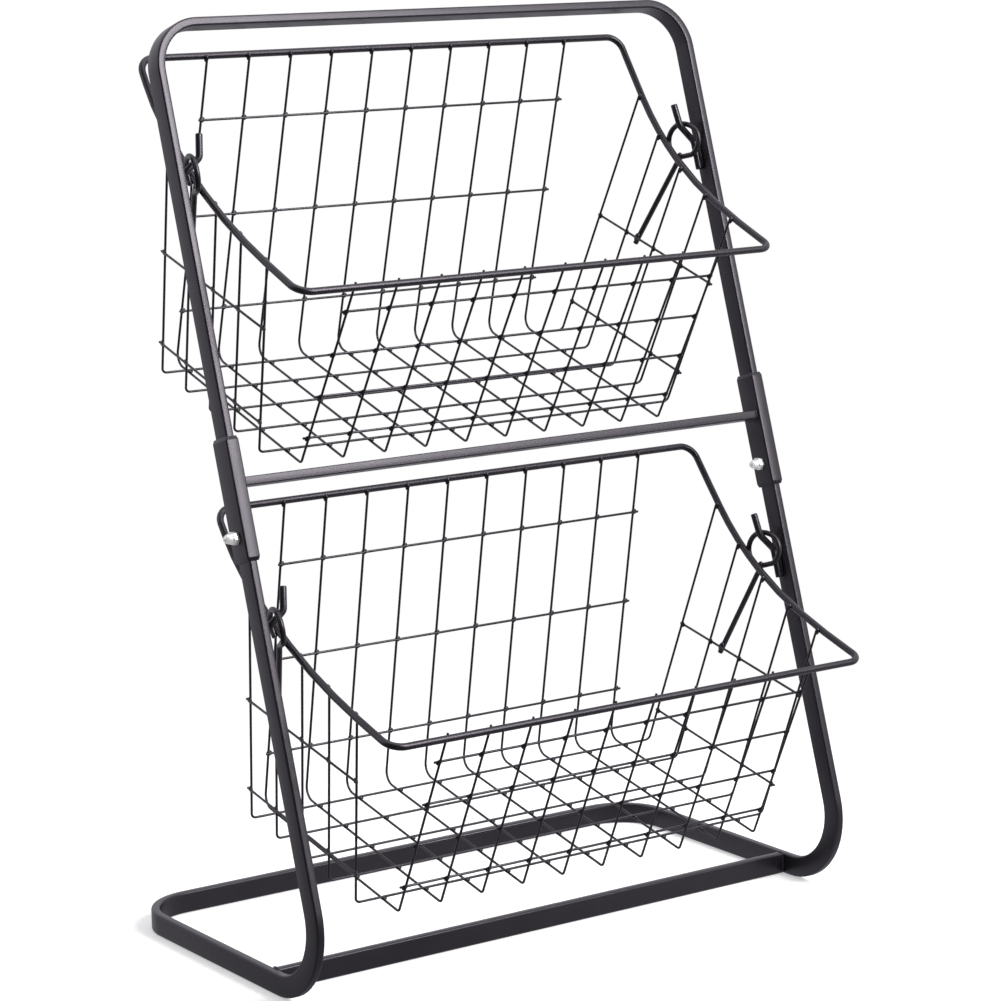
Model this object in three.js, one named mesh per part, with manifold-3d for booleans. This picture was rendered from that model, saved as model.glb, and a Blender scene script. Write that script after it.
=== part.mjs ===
// Two-tier kitchen rack: a leaning frame of flat steel tube with two wire baskets hung on its hooks.
// Millimetres, +Z up, +Y to the back, X across. Origin on the floor under the middle of the rack.
import * as THREE from "three";
import { mergeVertices } from "three/addons/utils/BufferGeometryUtils.js";
import Module from "manifold-3d";

// General
const CLEAR = 0.3; // gap between pieces that touch or are welded together
const ARC_STEP = THREE.MathUtils.degToRad(15); // turn of one facet along a bend

// Frame tube
const TUBE_T = 6; // thickness, across the rack on the uprights
const TUBE_D = 15; // depth of the uprights, height of the base bars
const TUBE_WALL = 1;
const TUBE_EDGE = 1.2; // rounding of the tube's long edges

// Frame
const FRAME_WIDTH = 440; // over the outside of the uprights
const LEAN = THREE.MathUtils.degToRad(17.5); // uprights lean back from vertical
const BASE_DEPTH = 269; // from where the uprights' front plane meets the floor to the rear face
const FRONT_BAR_SETBACK = 79; // the same line to the front bar's front face
const TOE_BEND = 45; // bend at the front of the base, on the centre line
const REAR_BEND = 38; // rear corners of the base
const TOP_BEND = 32; // top corners
const LOWER_HOOK_RISE = 260.6; // along the uprights, from the floor to the eyes' seats on the lower hooks
const TIER_PITCH = 300; // from the lower hooks to the upper ones
const TOP_RISE = 97.4; // from the upper seats to the top of the frame

// Sleeves that join the lower and the upper frame, with one bolt and one cap nut each
const SLEEVE_WALL = 1.6;
const SLEEVE_LENGTH = 81.5;
const SLEEVE_EDGE = 1.4; // rounding of the sleeve's long edges
const SLEEVE_ABOVE_HOOK = 39.4; // from the lower seats to the sleeve's lower end
const SLEEVE_CHAMFER = 2.4; // length of the tapered ends
const JOINT_SHARE = 0.536; // how far up the sleeve the two tubes meet
const CROSSBAR_SHARE = 0.632; // how far up the sleeve the crossbar sits
const CROSSBAR_D = 12.8; // depth of the crossbar's tube
const BOLT_ABOVE_END = 16.5; // from the sleeve's lower end to the bolt
const BOLT_D = 4.8;
const BOLT_HEAD_D = 9;
const BOLT_HEAD_H = 2;
const BOLT_GRIP = 5; // length of thread inside the cap nut
const NUT_FLATS = 8.2;
const NUT_HEX_H = 4;
const NUT_DOME_H = 5.4;

// Frame hooks: a leg on the upright, a slope that carries the basket's eye, and a tip
const HOOK_D = 4.8;
const HOOK_REACH = 15.8; // from the upright's inner face to the foot of the tip
const HOOK_SLOPE = THREE.MathUtils.degToRad(40); // climbs away from the upright
const HOOK_SPLAY = THREE.MathUtils.degToRad(9); // the tip leans away from the upright
const HOOK_LEG = 26.6; // from the eye's seat down to the leg's end
const HOOK_TIP = 20.9; // from the seat up to the tip's end
const HOOK_LEG_BACK = 3.4; // the leg lies behind the upright's middle
const HOOK_TIP_FRONT = 1; // and the foot of the tip in front of it
const HOOK_BEND = 5;

// Baskets, each in its own frame: y back from the front bottom corner, z square to the bottom
const UPPER_TILT = THREE.MathUtils.degToRad(16.9); // bottoms slope down to the front
const LOWER_TILT = THREE.MathUtils.degToRad(11.9);
const WIRE_D = 1.7;
const RIM_D = 4.8;
const BASKET_DEPTH = 170.8; // front corner to back corner along the bottom
const FRONT_FLARE = THREE.MathUtils.degToRad(13);
const BACK_FLARE = THREE.MathUtils.degToRad(2.2);
const SIDE_FLARE = THREE.MathUtils.degToRad(7.6);
const FRONT_CORNER_BEND = 3;
const BACK_CORNER_BEND = 9;
const SIDE_CORNER_BEND = 4;
const LONG_WIRES = 10;
const LONG_MARGIN = 21.5; // outermost long wire to the side wall, along the bottom
const CROSS_WIRES = 5;
const CROSS_MARGIN = 18.6; // first and last cross wire to the bottom's front and back corners
const CROSS_LEAN = THREE.MathUtils.degToRad(3.2); // cross wires lean to the front up the side walls
const FRONT_RAILS = 4;
const FRONT_RAIL_FIRST = 19.2;
const FRONT_RAIL_PITCH = 33.2;
const BACK_RAILS = 3;
const BACK_RAIL_FIRST = 38.8;
const BACK_RAIL_PITCH = 69;
const SIDE_RAILS = 2;
const SIDE_RAIL_FIRST = 25.2;
const SIDE_RAIL_PITCH = 69.4;
const RAIL_OVERHANG = 3; // past the outermost wire
const RAIL_BITE = 0.4; // side rails sink this far into the cross wires, where they are welded
const FRONT_OVERSHOOT = 2.2; // wire ends above the rim's centre line, at the front
const SIDE_OVERSHOOT = 0.4; // at the sides
const BACK_OVERSHOOT = 0.5; // and at the back
const RIM_FRONT_H = 140;
const RIM_BACK_H = 220;
const RIM_LOW_RISE = 5.4; // the side rim's first control height above the front rim
const RIM_HIGH_RISE = 10.8; // and its second
const RIM_FRONT_BEND = 11;
const RIM_BACK_BEND = 11;
const RIM_BACK_TUCK = 3.7; // the rim's back corners draw in from the side walls
const RIM_SIDE_STEPS = 8;

// Basket hooks: a rod along the side wall that turns into an eye above the rim
const ROD_D = 3.8;
const EYE_INNER = 20;
const EYE_SINK = 1.2; // the eye's lowest point below the rim's centre line
const EYE_CENTRE_Y = 90.5; // from the front bottom corner
const EYE_FROM_TIP = 6.2; // from the foot of the frame hook's tip to the eye, between centre lines
const SEAT_CLEAR = 0.5; // between the eye and the slope that carries it, all through its swing
const EYE_START = THREE.MathUtils.degToRad(215); // the eye's arc runs from here over the top
const EYE_END = THREE.MathUtils.degToRad(18);
const EYE_TURN = THREE.MathUtils.degToRad(14); // turns the eye to stand square to the frame hook
const EYE_SPREAD = 0.24; // how much the eye opens behind the spot that hangs on the frame hook
const EYE_STEPS = 12;
const ROD_TURN = THREE.MathUtils.degToRad(266); // where the rod meets the eye
const ROD_TURN_BEND = 4;
const ROD_FOOT_SHIFT = 14; // the rod's foot lies behind the eye's centre
const ROD_FOOT_DROP = 5.6; // and below the upper side rail

// Facets of the round sections
const WIRE_SIDES = 6;
const RIM_SIDES = 8;
const ROD_SIDES = 8;
const BOLT_SIDES = 16;

// Finishes
const BLACK_COAT = { color: 0x2b292d, roughness: 0.48, metalness: 0.15 };
const BRIGHT_ZINC = { color: 0xd4d4d2, roughness: 0.25, metalness: 1 };

const wasm = await Module();
wasm.setup();

const vec = (x, y, z) => new THREE.Vector3(x, y, z);

// Booleans

function toSolid(geometry) {
  const bare = geometry.clone();
  bare.deleteAttribute("normal");
  bare.deleteAttribute("uv");
  const merged = mergeVertices(bare);
  const triVerts = new Uint32Array(merged.index.array);
  const vertProperties = merged.getAttribute("position").array;
  return new wasm.Manifold(new wasm.Mesh({ numProp: 3, vertProperties, triVerts }));
}

function toGeometry(solid) {
  const { vertProperties, triVerts } = solid.getMesh();
  const geometry = new THREE.BufferGeometry();
  geometry.setAttribute("position", new THREE.BufferAttribute(Float32Array.from(vertProperties), 3));
  geometry.setIndex(new THREE.BufferAttribute(Uint32Array.from(triVerts), 1));
  geometry.computeVertexNormals();
  return geometry;
}

const cut = (geometry, ...tools) =>
  toGeometry(tools.reduce((body, tool) => body.subtract(toSolid(tool)), toSolid(geometry)));

const join = (...geometries) =>
  toGeometry(geometries.map(toSolid).reduce((body, more) => body.add(more)));

// Paths and sections

// A path through corners, each { at, bend }, with an arc of the bend's radius at each inner corner.
function bentPath(corners, loop = false) {
  const count = corners.length;
  const path = [];
  corners.forEach(({ at, bend = 0 }, i) => {
    const isEnd = !loop && (i === 0 || i === count - 1);
    if (isEnd || bend === 0) {
      path.push(at.clone());
      return;
    }
    const back = corners[(i + count - 1) % count].at.clone().sub(at).normalize();
    const ahead = corners[(i + 1) % count].at.clone().sub(at).normalize();
    const turn = Math.PI - back.angleTo(ahead);
    const reach = bend * Math.tan(turn / 2);
    const inward = back.clone().add(ahead).normalize();
    const centre = at.clone().addScaledVector(inward, bend / Math.cos(turn / 2));
    const from = at.clone().addScaledVector(back, reach).sub(centre);
    const to = at.clone().addScaledVector(ahead, reach).sub(centre);
    const axis = from.clone().cross(to).normalize();
    const steps = Math.max(2, Math.round(turn / ARC_STEP));
    for (let k = 0; k <= steps; k++) {
      path.push(from.clone().applyAxisAngle(axis, (turn * k) / steps).add(centre));
    }
  });
  return path;
}

// Unit tangents at the points of a path; at an inner point it halves the turn.
function tangentsOf(path, loop) {
  const count = path.length;
  return path.map((point, i) => {
    const before = path[loop ? (i + count - 1) % count : Math.max(i - 1, 0)];
    const after = path[loop ? (i + 1) % count : Math.min(i + 1, count - 1)];
    const tangent = vec(0, 0, 0);
    if (before !== point) tangent.add(point.clone().sub(before).normalize());
    if (after !== point) tangent.add(after.clone().sub(point).normalize());
    return tangent.normalize();
  });
}

// Rings of a section, a list of [across, along], carried along a path without twist.
// The section's second axis starts along up; on a loop the leftover twist is spread evenly.
function ringsAlong(section, path, up, loop = false) {
  const tangents = tangentsOf(path, loop);
  const along = [up.clone().addScaledVector(tangents[0], -up.dot(tangents[0])).normalize()];
  const carry = (axis, from, to) =>
    axis.clone().applyQuaternion(new THREE.Quaternion().setFromUnitVectors(from, to));
  for (let i = 1; i < path.length; i++) {
    along.push(carry(along[i - 1], tangents[i - 1], tangents[i]));
  }
  let twist = 0;
  if (loop) {
    const home = carry(along.at(-1), tangents.at(-1), tangents[0]);
    const side = along[0].clone().cross(tangents[0]);
    twist = Math.atan2(home.dot(side), home.dot(along[0]));
  }
  return path.map((point, i) => {
    const second = along[i].clone().applyAxisAngle(tangents[i], (twist * i) / path.length);
    const first = second.clone().cross(tangents[i]);
    return section.map(([a, b]) => point.clone().addScaledVector(first, a).addScaledVector(second, b));
  });
}

// A closed skin over a row of equal rings, capped at its ends or joined into a loop.
function skin(rings, loop = false) {
  const size = rings[0].length;
  const positions = rings.flat().flatMap((p) => [p.x, p.y, p.z]);
  const index = [];
  const spans = loop ? rings.length : rings.length - 1;
  for (let i = 0; i < spans; i++) {
    const a = i * size;
    const b = ((i + 1) % rings.length) * size;
    for (let j = 0; j < size; j++) {
      const k = (j + 1) % size;
      index.push(a + j, a + k, b + k, a + j, b + k, b + j);
    }
  }
  if (!loop) {
    const last = (rings.length - 1) * size;
    for (let j = 1; j < size - 1; j++) {
      index.push(0, j + 1, j, last, last + j, last + j + 1);
    }
  }
  const geometry = new THREE.BufferGeometry();
  geometry.setAttribute("position", new THREE.Float32BufferAttribute(positions, 3));
  geometry.setIndex(index);
  geometry.computeVertexNormals();
  return geometry;
}

const circle = (diameter, sides) =>
  Array.from({ length: sides }, (_, k) => {
    const angle = (2 * Math.PI * (k + 0.5)) / sides;
    return [(diameter / 2) * Math.cos(angle), (diameter / 2) * Math.sin(angle)];
  });

// A rectangle with rounded corners of three points each, counter-clockwise.
function roundedBox(width, height, rounding) {
  const corners = [
    [1, 1],
    [-1, 1],
    [-1, -1],
    [1, -1],
  ];
  return corners.flatMap(([sx, sy], quarter) =>
    [0, 1, 2].map((k) => {
      const angle = (Math.PI / 2) * (quarter + k / 2);
      const cx = sx * (width / 2 - rounding);
      const cy = sy * (height / 2 - rounding);
      return [cx + rounding * Math.cos(angle), cy + rounding * Math.sin(angle)];
    }),
  );
}

const rod = (path, diameter, sides, loop = false) => {
  const up = Math.abs(tangentsOf(path, loop)[0].z) < 0.9 ? vec(0, 0, 1) : vec(0, 1, 0);
  return skin(ringsAlong(circle(diameter, sides), path, up, loop), loop);
};

// A hollow tube with open ends; up is the direction of the section's height at its start.
function hollowTube(path, width, height, up) {
  const innerEdge = Math.max(TUBE_EDGE - TUBE_WALL, 0.1);
  const outer = ringsAlong(roundedBox(width, height, TUBE_EDGE), path, up);
  const bore = roundedBox(width - 2 * TUBE_WALL, height - 2 * TUBE_WALL, innerEdge);
  const inner = ringsAlong(bore, path, up);
  return skin([...outer, ...inner.reverse()], true);
}

// A round pin along X, from x0 to x1, at a point of the YZ plane.
function crossPin(diameter, x0, x1, { y, z }) {
  const pin = new THREE.CylinderGeometry(diameter / 2, diameter / 2, Math.abs(x1 - x0), BOLT_SIDES);
  pin.rotateZ(Math.PI / 2);
  return pin.translate((x0 + x1) / 2, y, z);
}

// The frame's own directions: up along the uprights, and back square to them

const rise = vec(0, Math.sin(LEAN), Math.cos(LEAN));
const back = vec(0, Math.cos(LEAN), -Math.sin(LEAN));
const uprightX = FRAME_WIDTH / 2 - TUBE_T / 2;
const innerFaceX = FRAME_WIDTH / 2 - TUBE_T;

// A point of the uprights' middle plane, at a distance along them from the floor.
const onUpright = (x, along) =>
  vec(x, 0, 0).addScaledVector(rise, along).addScaledVector(back, TUBE_D / 2);

const upperHookRise = LOWER_HOOK_RISE + TIER_PITCH;
const frameRise = upperHookRise + TOP_RISE;
const sleeveStart = LOWER_HOOK_RISE + SLEEVE_ABOVE_HOOK;
const tubeJoint = sleeveStart + JOINT_SHARE * SLEEVE_LENGTH;
const crossbarRise = sleeveStart + CROSSBAR_SHARE * SLEEVE_LENGTH;
const boltRise = sleeveStart + BOLT_ABOVE_END;
const sleeveHalfT = TUBE_T / 2 + CLEAR + SLEEVE_WALL;

const coat = new THREE.MeshStandardMaterial(BLACK_COAT);
const zinc = new THREE.MeshStandardMaterial(BRIGHT_ZINC);

function piece(name, geometry, material = coat) {
  const mesh = new THREE.Mesh(geometry, material);
  mesh.name = name;
  return mesh;
}

const SIDES = [
  { side: "left", sign: -1 },
  { side: "right", sign: 1 },
];

// Frame pieces

function lowerFrameTube() {
  // Where the middle line of an upright meets the middle line of the base.
  const toeAlong = (TUBE_D / 2) * (1 + Math.sin(LEAN)) / Math.cos(LEAN);
  const toe = onUpright(0, toeAlong);
  const rear = vec(0, BASE_DEPTH - TUBE_T / 2, TUBE_D / 2);
  const at = (sign, point) => vec(sign * uprightX, point.y, point.z);
  const half = (sign) => [
    { at: onUpright(sign * uprightX, tubeJoint - CLEAR / 2) },
    { at: at(sign, toe), bend: TOE_BEND },
    { at: at(sign, rear), bend: REAR_BEND },
  ];
  const path = bentPath([...half(-1), ...half(1).reverse()]);
  const tube = hollowTube(path, TUBE_T, TUBE_D, back);
  const axis = onUpright(0, boltRise);
  const holes = SIDES.map(({ sign }) =>
    crossPin(BOLT_D + 2 * CLEAR, sign * (uprightX - TUBE_T), sign * (uprightX + TUBE_T), axis),
  );
  return cut(tube, ...holes);
}

function upperFrameTube() {
  const topAlong = frameRise - TUBE_T / 2;
  const half = (sign) => [
    { at: onUpright(sign * uprightX, tubeJoint + CLEAR / 2) },
    { at: onUpright(sign * uprightX, topAlong), bend: TOP_BEND },
  ];
  return hollowTube(bentPath([...half(-1), ...half(1).reverse()]), TUBE_T, TUBE_D, back);
}

function baseFrontBar() {
  const end = innerFaceX - CLEAR;
  const y = FRONT_BAR_SETBACK + TUBE_T / 2;
  const path = [vec(-end, y, TUBE_D / 2), vec(end, y, TUBE_D / 2)];
  return hollowTube(path, TUBE_T, TUBE_D, vec(0, 0, 1));
}

function middleCrossbar() {
  const end = uprightX - sleeveHalfT - CLEAR;
  const path = [onUpright(-end, crossbarRise), onUpright(end, crossbarRise)];
  return hollowTube(path, TUBE_T, CROSSBAR_D, back);
}

// A sleeve tapers at both ends, slides over both tubes, and is drilled for the bolt.
function sleeve(sign) {
  const x = sign * uprightX;
  const ends = [0, SLEEVE_CHAMFER, SLEEVE_LENGTH - SLEEVE_CHAMFER, SLEEVE_LENGTH];
  const path = ends.map((along) => onUpright(x, sleeveStart + along));
  const bore = [TUBE_T + 2 * CLEAR, TUBE_D + 2 * CLEAR];
  const grown = (by) =>
    roundedBox(bore[0] + 2 * by, bore[1] + 2 * by, Math.min(TUBE_EDGE + by, SLEEVE_EDGE));
  const full = ringsAlong(grown(SLEEVE_WALL), path, back);
  const thin = ringsAlong(grown(SLEEVE_WALL / 3), path, back);
  const inner = ringsAlong(grown(0), path, back);
  const outer = [thin[0], full[1], full[2], thin[3]];
  const shell = skin([...outer, inner[3], inner[0]], true);
  return cut(shell, crossPin(BOLT_D + 2 * CLEAR, x - TUBE_D, x + TUBE_D, onUpright(0, boltRise)));
}

// A low round-head bolt through the sleeve and the tube; its end lies inside the cap nut.
function bolt(x) {
  const grip = 2 * sleeveHalfT + BOLT_GRIP;
  const profile = [new THREE.Vector2(0, -grip), new THREE.Vector2(BOLT_D / 2, -grip)];
  profile.push(new THREE.Vector2(BOLT_D / 2, CLEAR), new THREE.Vector2(BOLT_HEAD_D / 2, CLEAR));
  const domeSteps = 4;
  for (let k = 1; k <= domeSteps; k++) {
    const angle = ((Math.PI / 2) * k) / domeSteps;
    const radius = k === domeSteps ? 0 : (BOLT_HEAD_D / 2) * Math.cos(angle);
    profile.push(new THREE.Vector2(radius, CLEAR + BOLT_HEAD_H * Math.sin(angle)));
  }
  const turned = new THREE.LatheGeometry(profile, BOLT_SIDES).rotateZ(-Math.PI / 2);
  const place = onUpright(x + sleeveHalfT, boltRise);
  return turned.translate(place.x, place.y, place.z);
}

// A hexagonal nut with a dome over the bolt's end, against the sleeve's left face.
function capNut(x) {
  const hex = new THREE.CylinderGeometry(NUT_FLATS / Math.sqrt(3), NUT_FLATS / Math.sqrt(3), NUT_HEX_H, 6);
  hex.translate(0, NUT_HEX_H / 2, 0);
  const domeRadius = NUT_FLATS / 2 - CLEAR;
  const profile = [new THREE.Vector2(0, NUT_HEX_H / 2), new THREE.Vector2(domeRadius, NUT_HEX_H / 2)];
  const domeSteps = 4;
  for (let k = 0; k <= domeSteps; k++) {
    const angle = ((Math.PI / 2) * k) / domeSteps;
    const radius = k === domeSteps ? 0 : domeRadius * Math.cos(angle);
    profile.push(new THREE.Vector2(radius, NUT_HEX_H + NUT_DOME_H * Math.sin(angle)));
  }
  const dome = new THREE.LatheGeometry(profile, BOLT_SIDES);
  const boreDepth = BOLT_GRIP + CLEAR;
  const bore = new THREE.CylinderGeometry(BOLT_D / 2 + CLEAR, BOLT_D / 2 + CLEAR, 2 * boreDepth, BOLT_SIDES);
  const nut = cut(join(hex, dome), bore).rotateZ(Math.PI / 2);
  const place = onUpright(x - sleeveHalfT - CLEAR, boltRise);
  return nut.translate(place.x, place.y, place.z);
}

const hookLegX = innerFaceX - HOOK_D / 2 - CLEAR;
const hookTipX = innerFaceX - HOOK_REACH;
const eyeTopX = hookTipX + EYE_FROM_TIP;

// A hook lies in a plane turned a little about its upright: how far behind the upright's middle it is,
// and how far its slope is above the eye's seat, at a distance from the rack's middle.
const hookBack = (x) =>
  THREE.MathUtils.lerp(-HOOK_TIP_FRONT, HOOK_LEG_BACK, (x - hookTipX) / (hookLegX - hookTipX));
const slopeRise = (x) => (eyeTopX - x) * Math.tan(HOOK_SLOPE);
const eyeSeat = (seatRise) => onUpright(0, seatRise).addScaledVector(back, hookBack(eyeTopX));

// A bent rod welded to an upright's inner face; the basket's eye hangs on its slope.
function frameHook(sign, seatRise) {
  const onHook = (x, along) => onUpright(sign * x, seatRise + along).addScaledVector(back, hookBack(x));
  const tipFoot = slopeRise(hookTipX);
  const tipEndX = hookTipX - Math.tan(HOOK_SPLAY) * (HOOK_TIP - tipFoot);
  const corners = [
    { at: onHook(hookLegX, -HOOK_LEG) },
    { at: onHook(hookLegX, slopeRise(hookLegX)), bend: HOOK_BEND },
    { at: onHook(hookTipX, tipFoot), bend: HOOK_BEND },
    { at: onHook(tipEndX, HOOK_TIP) },
  ];
  return rod(bentPath(corners), HOOK_D, ROD_SIDES);
}

// Basket layout, worked out from the eye inwards so that the basket fits between the frame hooks

const rimOffset = RIM_D / 2 + WIRE_D / 2 + CLEAR; // rim's centre line outside the wires
const wireGap = WIRE_D + CLEAR; // between the centre lines of crossing wires
const frontY = (h) => -Math.tan(FRONT_FLARE) * h;
const backY = (h) => BASKET_DEPTH + Math.tan(BACK_FLARE) * h;
const sideRise = (h) => Math.tan(SIDE_FLARE) * h;
const rimFrontY = frontY(RIM_FRONT_H) - rimOffset;
const rimBackY = backY(RIM_BACK_H) + rimOffset;

// The side rim in the YZ plane: low along the front, swept up to the back.
const rimSide = new THREE.CubicBezierCurve(
  new THREE.Vector2(rimFrontY, RIM_FRONT_H),
  new THREE.Vector2((2 * rimFrontY + rimBackY) / 3, RIM_FRONT_H + RIM_LOW_RISE),
  new THREE.Vector2((rimFrontY + 2 * rimBackY) / 3, RIM_FRONT_H + RIM_HIGH_RISE),
  new THREE.Vector2(rimBackY, RIM_BACK_H),
);
const rimHeightAt = (y) => rimSide.getPoint((y - rimFrontY) / (rimBackY - rimFrontY)).y;

const eyeRadius = (EYE_INNER + ROD_D) / 2;
const eyeCentreH = rimHeightAt(EYE_CENTRE_Y) - EYE_SINK + eyeRadius;
const hangDirection = (UPPER_TILT + LOWER_TILT) / 2; // plumb line seen from a hanging basket
const seatGap = (HOOK_D / 2 + ROD_D / 2 + SEAT_CLEAR) / Math.cos(HOOK_SLOPE); // of the centre lines, upright
const hangDrop = eyeRadius - seatGap; // eye's centre below its seat
const hangY = EYE_CENTRE_Y + hangDrop * Math.sin(hangDirection);
const hangH = eyeCentreH + hangDrop * Math.cos(hangDirection);

// The hook rod runs up outside the upper side rail and the rim, and the eye goes on at its slope.
const railTopH = SIDE_RAIL_FIRST + (SIDE_RAILS - 1) * SIDE_RAIL_PITCH;
const railOffset = WIRE_D - RAIL_BITE;
const rimCrossY = EYE_CENTRE_Y + eyeRadius * Math.cos(ROD_TURN);
const rimCrossH = rimHeightAt(rimCrossY);
const rodAtRim = sideRise(rimCrossH) + rimOffset + (RIM_D + ROD_D) / 2 + CLEAR;
const rodAtRail = sideRise(railTopH) + railOffset + (WIRE_D + ROD_D) / 2 + CLEAR;
const rodSlope = (rodAtRim - rodAtRail) / (rimCrossH - railTopH);
const eyeOut = (h) => rodAtRim + rodSlope * (h - rimCrossH);
const bottomHalf = eyeTopX - eyeOut(eyeCentreH + eyeRadius); // of the bottom's width
const sideX = (h) => bottomHalf + sideRise(h);
const longHalf = bottomHalf - LONG_MARGIN;
const crossPitch = (BASKET_DEPTH - 2 * CROSS_MARGIN) / (CROSS_WIRES - 1);
const crossLean = (h) => Math.tan(CROSS_LEAN) * h;

function basketRim() {
  const rimX = (h) => sideX(h) + rimOffset;
  const side = (sign) => {
    const corners = [];
    for (let k = 0; k <= RIM_SIDE_STEPS; k++) {
      const { x: y, y: h } = rimSide.getPoint(k / RIM_SIDE_STEPS);
      corners.push({ at: vec(sign * rimX(h), y, h) });
    }
    corners[0].bend = RIM_FRONT_BEND;
    const backCorner = corners.at(-1);
    backCorner.bend = RIM_BACK_BEND;
    backCorner.at.x -= sign * RIM_BACK_TUCK;
    return corners;
  };
  return rod(bentPath([...side(1), ...side(-1).reverse()], true), RIM_D, RIM_SIDES, true);
}

// Up the front wall, along the bottom and up the back wall, inside the rim.
function longWire(x) {
  const frontTop = RIM_FRONT_H + FRONT_OVERSHOOT;
  const backTop = RIM_BACK_H + BACK_OVERSHOOT;
  const corners = [
    { at: vec(x, frontY(frontTop), frontTop) },
    { at: vec(x, 0, 0), bend: FRONT_CORNER_BEND },
    { at: vec(x, BASKET_DEPTH, 0), bend: BACK_CORNER_BEND },
    { at: vec(x, backY(backTop), backTop) },
  ];
  return rod(bentPath(corners), WIRE_D, WIRE_SIDES);
}

// A level rail across the long wires, on their inside.
function levelRail(y, h) {
  const end = longHalf + RAIL_OVERHANG;
  return rod([vec(-end, y, h), vec(end, y, h)], WIRE_D, WIRE_SIDES);
}

// The cross wires lie on the long wires and run up both side walls, with two rails a side outside them.
function crossMat() {
  const wires = Array.from({ length: CROSS_WIRES }, (_, k) => {
    const y = CROSS_MARGIN + k * crossPitch;
    const rimH = rimHeightAt(y - crossLean(RIM_FRONT_H));
    const top = rimH + SIDE_OVERSHOOT;
    const corners = [
      { at: vec(-sideX(top), y - crossLean(top), top) },
      { at: vec(-sideX(wireGap), y, wireGap), bend: SIDE_CORNER_BEND },
      { at: vec(sideX(wireGap), y, wireGap), bend: SIDE_CORNER_BEND },
      { at: vec(sideX(top), y - crossLean(top), top) },
    ];
    return rod(bentPath(corners), WIRE_D, WIRE_SIDES);
  });
  const rails = SIDES.flatMap(({ sign }) =>
    Array.from({ length: SIDE_RAILS }, (_, k) => {
      const h = SIDE_RAIL_FIRST + k * SIDE_RAIL_PITCH;
      const x = sign * (sideX(h) + railOffset);
      const front = CROSS_MARGIN - crossLean(h) - RAIL_OVERHANG;
      const rear = BASKET_DEPTH - CROSS_MARGIN - crossLean(h) + RAIL_OVERHANG;
      return rod([vec(x, front, h), vec(x, rear, h)], WIRE_D, WIRE_SIDES);
    }),
  );
  return join(...wires, ...rails);
}

function basketHook(sign) {
  const onEye = (angle) => {
    const behind = eyeRadius * (Math.cos(angle) - Math.sin(hangDirection)); // the spot on the frame hook
    const reach = eyeRadius + EYE_SPREAD * Math.max(behind, 0);
    const h = eyeCentreH + reach * Math.sin(angle);
    const x = bottomHalf + eyeOut(h) - behind * Math.sin(EYE_TURN);
    return vec(sign * x, EYE_CENTRE_Y + reach * Math.cos(angle), h);
  };
  const footX = bottomHalf + rodAtRail - rodSlope * ROD_FOOT_DROP;
  const corners = [
    { at: vec(sign * footX, EYE_CENTRE_Y + ROD_FOOT_SHIFT, railTopH - ROD_FOOT_DROP) },
    { at: onEye(ROD_TURN), bend: ROD_TURN_BEND },
  ];
  for (let k = 0; k <= EYE_STEPS; k++) {
    corners.push({ at: onEye(EYE_START + ((EYE_END - EYE_START) * k) / EYE_STEPS) });
  }
  return rod(bentPath(corners), ROD_D, ROD_SIDES);
}

// A basket hung by its eyes on the hooks whose seats are at a height along the uprights.
function basket(tier, tilt, seatRise) {
  const body = new THREE.Group();
  body.add(piece(`${tier}_basket_rim`, basketRim()));
  for (let k = 0; k < LONG_WIRES; k++) {
    const x = longHalf * ((2 * k) / (LONG_WIRES - 1) - 1);
    body.add(piece(`${tier}_long_wire_${String(k + 1).padStart(2, "0")}`, longWire(x)));
  }
  for (let k = 0; k < FRONT_RAILS; k++) {
    const h = FRONT_RAIL_FIRST + k * FRONT_RAIL_PITCH;
    const y = frontY(h) + wireGap / Math.cos(FRONT_FLARE);
    body.add(piece(`${tier}_front_rail_${k + 1}`, levelRail(y, h)));
  }
  for (let k = 0; k < BACK_RAILS; k++) {
    const h = BACK_RAIL_FIRST + k * BACK_RAIL_PITCH;
    const y = backY(h) - wireGap / Math.cos(BACK_FLARE);
    body.add(piece(`${tier}_back_rail_${k + 1}`, levelRail(y, h)));
  }
  body.add(piece(`${tier}_cross_mat`, crossMat()));
  SIDES.forEach(({ side, sign }) => body.add(piece(`${tier}_${side}_basket_hook`, basketHook(sign))));
  body.position.set(0, -hangY, -hangH);
  const hung = new THREE.Group();
  hung.add(body);
  hung.position.copy(eyeSeat(seatRise));
  hung.rotation.x = tilt;
  return hung;
}

// Assembly

const assembly = new THREE.Group();
assembly.add(piece("lower_frame_tube", lowerFrameTube()));
assembly.add(piece("base_front_bar", baseFrontBar()));
assembly.add(piece("upper_frame_tube", upperFrameTube()));
assembly.add(piece("middle_crossbar", middleCrossbar()));
SIDES.forEach(({ side, sign }) => {
  assembly.add(piece(`${side}_sleeve`, sleeve(sign)));
  assembly.add(piece(`${side}_bolt`, bolt(sign * uprightX), zinc));
  assembly.add(piece(`${side}_cap_nut`, capNut(sign * uprightX), zinc));
  assembly.add(piece(`${side}_upper_frame_hook`, frameHook(sign, upperHookRise)));
  assembly.add(piece(`${side}_lower_frame_hook`, frameHook(sign, LOWER_HOOK_RISE)));
});
assembly.add(basket("upper", UPPER_TILT, upperHookRise));
assembly.add(basket("lower", LOWER_TILT, LOWER_HOOK_RISE));

// The origin is on the floor, on the frame's middle plane, under the middle of the rack's depth.
const extent = new THREE.Box3().setFromObject(assembly, true);
const middle = extent.getCenter(vec(0, 0, 0));
assembly.position.set(0, -middle.y, -extent.min.z);

const rack = new THREE.Group();
rack.add(assembly);

export default rack;
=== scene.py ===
import math

import bpy
from mathutils import Matrix, Vector


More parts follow.
